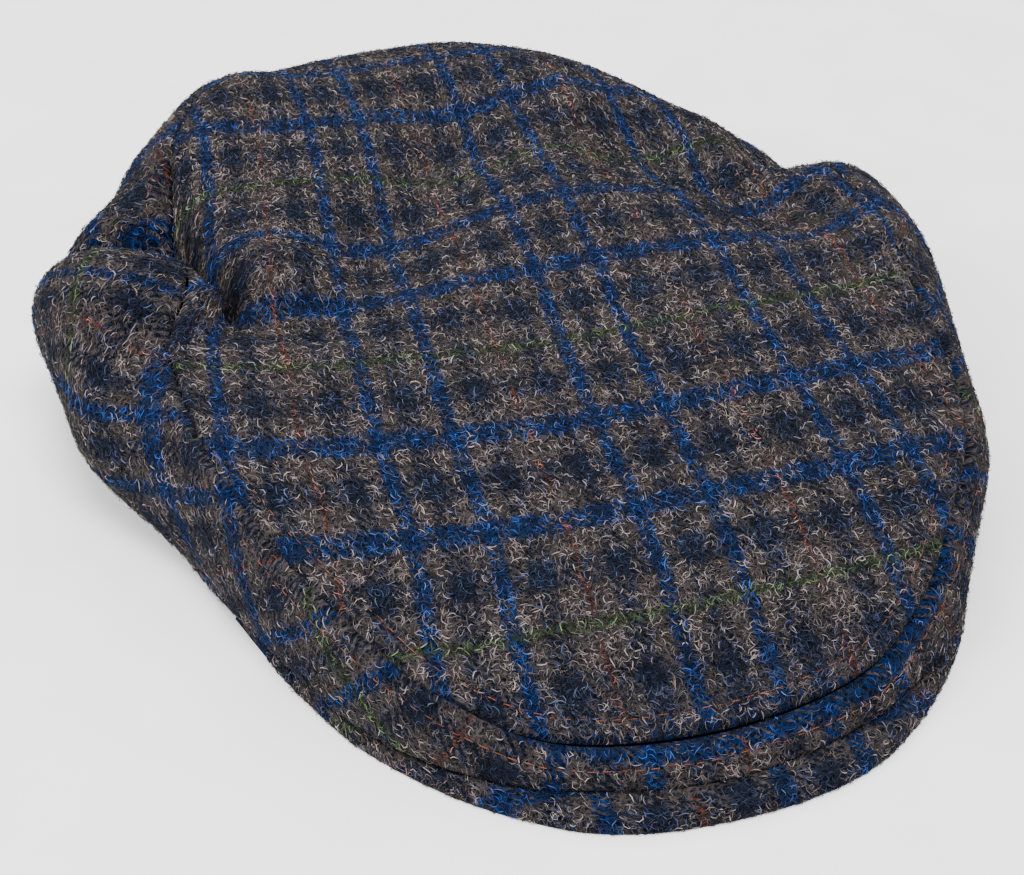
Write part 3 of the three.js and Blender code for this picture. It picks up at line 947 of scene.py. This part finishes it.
def build_hairs(name, roots, surface, cloth_of, scale, material, seed, room=None):
    """Fibres as thin ribbons on surface(a, b). scale(a, b) gives the change of a and b per mm,
    and room the mm that a fibre has beside it."""
    rng = np.random.default_rng(seed)
    a0, b0 = roots
    count = len(a0)
    x, y, height = hair_shapes(count, rng)
    if room is not None:
        short = np.clip(room / 1.5, 0.4, 1)[:, None]
        x, y = x * short, y * short
    per_a, per_b = scale(a0, b0)
    a, b = a0[:, None] + x * per_a[:, None], b0[:, None] + y * per_b[:, None]
    line = surface(a, b)
    eps_a, eps_b = 0.8 * per_a, 0.8 * per_b
    east = unit(surface(a0 + eps_a, b0) - surface(a0 - eps_a, b0))
    north = surface(a0, b0 + eps_b) - surface(a0, b0 - eps_b)
    normal = unit(np.cross(east, north))
    line = line + normal[:, None] * height[..., None]
    along = unit(np.gradient(line, axis=1))
    tilt = rng.normal(0, 0.5, count)[:, None, None]
    side = np.cross(normal[:, None], along)
    side = unit(unit(side) + normal[:, None] * tilt)
    s = np.linspace(0, 1, HAIR_STEPS + 1)
    taper = np.minimum(1, np.minimum(s, 1 - s) * 5 + 0.3)
    half = (rng.uniform(*HAIR_HALF, count)[:, None] * taper)[..., None]
    points = np.stack([line - side * half, line + side * half], 2)
    points[..., 2] = np.maximum(points[..., 2], 0.05)
    per_hair = 2 * (HAIR_STEPS + 1)
    k = np.arange(HAIR_STEPS) * 2
    strip = np.stack([k, k + 1, k + 3, k + 2], -1)
    faces = (np.arange(count)[:, None, None] * per_hair + strip).reshape(-1, 4)
    cloth = np.repeat(cloth_of(a0, b0), per_hair, 0)
    pick = np.repeat(rng.random((count, 2)), per_hair, 0)
    cells = math.ceil(math.sqrt(count))
    cell = np.stack([np.arange(count) % cells, np.arange(count) // cells], -1)[:, None, None]
    spot = np.stack(np.broadcast_arrays(np.array([0.2, 0.8])[None], (0.1 + 0.8 * s)[:, None]), -1)
    bake = ((cell + spot) / cells).reshape(-1, 2)
    strand = np.tile(np.array([[0.0, 0.5], [1.0, 0.5]]), (count * (HAIR_STEPS + 1), 1))
    return make_piece(
        name, points.reshape(-1, 3), faces, cloth, material,
        pick=pick, bake=bake, strand=strand,
    )


# ---------------- stitches
STITCH_PITCH, STITCH_LENGTH, THREAD_RADIUS = 3.3, (1.7, 2.7), (0.1, 0.145)
STITCH_LIFT, STITCH_STRAY = 0.1, 0.12


def build_stitches(name, point_at, normal_at, cloth_at, sunk_at, total, material, seed):
    """A line of running stitches. point_at(x) is the place x mm along the line."""
    rng = np.random.default_rng(seed)
    sides, rings = 6, 9
    starts = np.arange(0, total - STITCH_PITCH / 2, STITCH_PITCH)
    count = len(starts)
    starts = starts + rng.normal(0, STITCH_STRAY, count)
    length = rng.uniform(*STITCH_LENGTH, count)
    s = np.linspace(0, 1, rings)
    tip = (2 * s - 1) ** 6
    x = starts[:, None] + length[:, None] * s
    line, normal = point_at(x), normal_at(x)
    lift = rng.uniform(0.0, 0.35, count)[:, None] * np.sin(np.pi * s) ** 0.6 - 0.28 * tip
    line = line + normal * (lift + STITCH_LIFT - sunk_at(x))[..., None]
    along = unit(np.gradient(line, axis=1))
    side = unit(np.cross(normal, along))
    line = line + side * rng.normal(0, STITCH_STRAY, count)[:, None, None]
    up = np.cross(along, side)
    radius = rng.uniform(*THREAD_RADIUS, count)[:, None] * (1 - 0.55 * tip)
    turn = np.linspace(0, 2 * math.pi, sides + 1)[:-1]
    ring = side[:, :, None] * np.cos(turn)[:, None] + up[:, :, None] * np.sin(turn)[:, None]
    points = line[:, :, None] + ring * radius[..., None, None]
    per = rings * sides
    first = np.arange(count)[:, None] * per
    k = np.arange(sides)
    j = np.arange(rings - 1)[:, None] * sides
    n = (k + 1) % sides
    tube = np.stack([j + k, j + n, j + n + sides, j + k + sides], -1).reshape(-1, 4)
    quads = (first[..., None] + tube).reshape(-1, 4)
    caps = np.stack([first + k[::-1], first + (rings - 1) * sides + k], 1).reshape(-1, sides)
    cloth = np.repeat(cloth_at(x).reshape(-1, 2), sides, 0)
    pick = np.repeat(rng.random((count, 2)), per, 0)
    faces = [*quads, *caps]
    return make_piece(name, points.reshape(-1, 3), faces, cloth, material, pick=pick)


def station_by_length(t, points):
    """Length of a line with points at stations t, and a function from mm along it to station."""
    run = run_along(points)
    return run[-1], lambda x: np.interp(x, run, t)


# ---------------- build it
tweed_top, tweed_band, tweed_peak = tweed("tweed_top"), tweed("tweed_band"), tweed("tweed_peak")
top = build_top(tweed_top)
band = build_band(tweed_band)
peak = build_peak(tweed_peak)

hair_top, hair_band = wool_hairs("wool_hairs_top"), wool_hairs("wool_hairs_band")
hair_peak = wool_hairs("wool_hairs_peak")
TOP_HAIRS, BAND_HAIRS, PEAK_HAIRS = ((88500, 34000, 8000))
SEAM_BARE, ROOMY = 0.6, 9.0  # mm beside the open seam without fibres; room for any fibre
PANEL_P, PANEL_Q = (-112, 112), (-2, 266)  # a box around the panel's outline


def seam_room(depth, t):
    """Whether a fibre may stand at a distance from the seam, and the room it has there."""
    open_seam = np.abs(t) < SEAM_SOFTENS[0]
    return depth > np.where(open_seam, SEAM_BARE, 0.0), np.where(open_seam, depth, ROOMY)


def top_roots(count, rng):
    """Random places of the top panel's skin."""
    p, q = rng.uniform(*PANEL_P, count * 2), rng.uniform(*PANEL_Q, count * 2)
    depth, share = panel_depth(p, q)
    free, room = seam_room(depth, panel_station(p, q))
    keep = (share < 1) & free
    return p[keep][:count], q[keep][:count], room[keep][:count]


def unit_scale(a, b):
    return np.ones_like(a), np.ones_like(b)


hair_p, hair_q, hair_room = top_roots(TOP_HAIRS, np.random.default_rng(21))
for number, part in enumerate(np.array_split(np.argsort(hair_q), 3)):
    build_hairs(
        f"top_fibres_{number + 1}", (hair_p[part], hair_q[part]), top_surface, top_cloth,
        unit_scale, hair_top, 31 + number, hair_room[part],
    )


def band_scale(t, v, dt=0.03, dv=0.03):
    along = np.linalg.norm(band_point(t + dt, v) - band_point(t - dt, v), axis=-1) / (2 * dt)
    above, below = np.minimum(v + dv, 1), np.maximum(v - dv, 0)
    up = np.linalg.norm(band_point(t, above) - band_point(t, below), axis=-1) / (above - below)
    return 1 / along, 1 / up


def band_roots(count, rng):
    """Random places of the band's skin, spread evenly over its surface."""
    t = np.interp(rng.uniform(BAND_RUN[0], BAND_RUN[-1], count * 4), BAND_RUN, BAND_T)
    v, height = rng.random(count * 4), band_height(t)
    keep = rng.random(count * 4) < height / height.max()
    free, room = seam_room((1 - v) * height, t)
    keep &= (v * height > 0.4) & free
    return t[keep][:count], v[keep][:count], room[keep][:count]


band_t, band_v, band_room = band_roots(BAND_HAIRS, np.random.default_rng(22))
for number, part in enumerate(np.array_split(np.argsort(band_t), 2)):
    build_hairs(
        f"band_fibres_{number + 1}", (band_t[part], band_v[part]),
        lambda t, v: band_surface(t, np.clip(v, 0.004, 1.04)), band_cloth,
        band_scale, hair_band, 35 + number, band_room[part],
    )


def peak_scale(t, s):
    """A station of the peak is about 15 mm long, its rounded edge 5 mm and its flat part 38 mm."""
    return np.full_like(t, 1 / 15), np.where(s < NOSE_SHARE, NOSE_SHARE / 5, (1 - NOSE_SHARE) / 38)


rng = np.random.default_rng(23)
peak_t = rng.uniform(-8.6, 8.6, PEAK_HAIRS)
peak_s = rng.random(PEAK_HAIRS) ** 1.6  # closer together towards the edge that shows
build_hairs(
    "peak_fibres", (peak_t, peak_s),
    lambda t, s: peak_surface(np.clip(t, -PEAK_LAST, PEAK_LAST), np.clip(s, 0.02, 1)),
    lambda t, s: peak_cloth(peak_surface(t, s)), peak_scale, hair_peak, 38,
)

# Top stitching on either side of the seam, at stations stitch_t.
thread = thread_material("rust_thread")
stitch_t = np.linspace(-LAST, LAST, 2881)
edge_pq = np.stack([station("p", stitch_t), station("q", stitch_t)], -1)
run_pq = unit(np.gradient(edge_pq, axis=0))
inset_p, inset_q = (edge_pq + STITCH_IN * np.stack([-run_pq[:, 1], run_pq[:, 0]], -1)).T
top_total, top_station_at = station_by_length(stitch_t, top_surface(inset_p, inset_q))


def sunk(t):
    """How deep the stitches lie in the nap: in front they show, behind they all but vanish."""
    return 0.3 * smooth(3.4, 5.0, np.abs(wrap(t)))


def top_stitch_pq(x):
    t = top_station_at(x)
    return np.interp(t, stitch_t, inset_p), np.interp(t, stitch_t, inset_q)


def band_stitch_v(t):
    return 1 - STITCH_IN / band_height(t)


build_stitches(
    "top_stitching", lambda x: top_surface(*top_stitch_pq(x)),
    lambda x: top_normal(*top_stitch_pq(x)), lambda x: np.stack(top_stitch_pq(x), -1),
    lambda x: sunk(top_station_at(x)), top_total, thread, 41,
)
band_total, band_station_at = station_by_length(
    stitch_t, band_surface(stitch_t, band_stitch_v(stitch_t))
)


def on_band(function):
    """The same function of (t, v), by the mm along the band's stitches."""
    def at(x):
        t = band_station_at(x)
        return function(t, band_stitch_v(t))

    return at


build_stitches(
    "band_stitching", on_band(band_surface), on_band(band_normal), on_band(band_cloth),
    lambda x: sunk(band_station_at(x)), band_total, thread, 42,
)


# ---------------- floor, light and camera
FLOOR_HALF = 6.0  # m
MIDDLE = np.array((cad_low + cad_high) / 2)


def floor_material():
    material, tree, shader = new_material("pale_floor")
    coords = tree.nodes.new("ShaderNodeTexCoord")
    grain = tree.nodes.new("ShaderNodeTexNoise")
    grain.inputs["Scale"].default_value = 40
    tree.links.new(coords.outputs["Object"], grain.inputs["Vector"])
    share = Val(tree, grain.outputs[0]).step(0.3, 0.7)
    colour = mix(share, linear(238, 238, 238), linear(243, 243, 243))
    tree.links.new(colour, shader.inputs["Base Color"])
    shader.inputs["Roughness"].default_value = 0.9
    shader.inputs["Specular IOR Level"].default_value = 0.1
    return material


floor_mesh = bpy.data.meshes.new("floor")
floor_mesh.from_pydata(
    [
        (x * FLOOR_HALF, y * FLOOR_HALF, cad_low[2])
        for x, y in ((-1, -1), (1, -1), (1, 1), (-1, 1))
    ],
    [], [(0, 1, 2, 3)],
)
floor = bpy.data.objects.new("floor", floor_mesh)
floor_mesh.materials.append(floor_material())
bpy.context.scene.collection.objects.link(floor)

world = bpy.data.worlds.new("studio")
world.use_nodes = True
world.node_tree.nodes["Background"].inputs["Color"].default_value = (1, 1, 1, 1)
world.node_tree.nodes["Background"].inputs["Strength"].default_value = 1.35
bpy.context.scene.world = world


def aim(thing, way):
    """Turn a lamp or camera to look along way, and put it into the scene."""
    thing.rotation_mode = "QUATERNION"
    thing.rotation_quaternion = Vector(tuple(way)).to_track_quat("-Z", "Y")
    bpy.context.scene.collection.objects.link(thing)


def lamp(name, azimuth, elevation, distance, size, watts):
    """Square soft light on the cap, from an azimuth and elevation in degrees. Azimuth 0 is in
    front and 90 at the right."""
    a, e = math.radians(azimuth), math.radians(elevation)
    back = np.array([math.sin(a) * math.cos(e), -math.cos(a) * math.cos(e), math.sin(e)])
    data = bpy.data.lights.new(name, "AREA")
    data.size, data.energy = size, watts
    light = bpy.data.objects.new(name, data)
    light.location = tuple(MIDDLE + back * distance)
    aim(light, -back)


lamp("key", 0, 68, 1.6, 0.7, 37)
lamp("fill", -80, 38, 1.6, 1.0, 25)
lamp("rim", 170, 45, 1.6, 0.8, 12)

CAMERA, TARGET = (-133.0, -334.5, 322.6), (-8.0, 67.0, 0.0)  # where the photo was taken from
camera_data = bpy.data.cameras.new("camera")
camera_data.lens, camera_data.sensor_width = 72.7, 36
camera_data.clip_start, camera_data.clip_end = 0.01, 50
camera = bpy.data.objects.new("camera", camera_data)
camera.location = tuple(place(CAMERA))
aim(camera, place(TARGET) - place(CAMERA))
bpy.context.scene.camera = camera
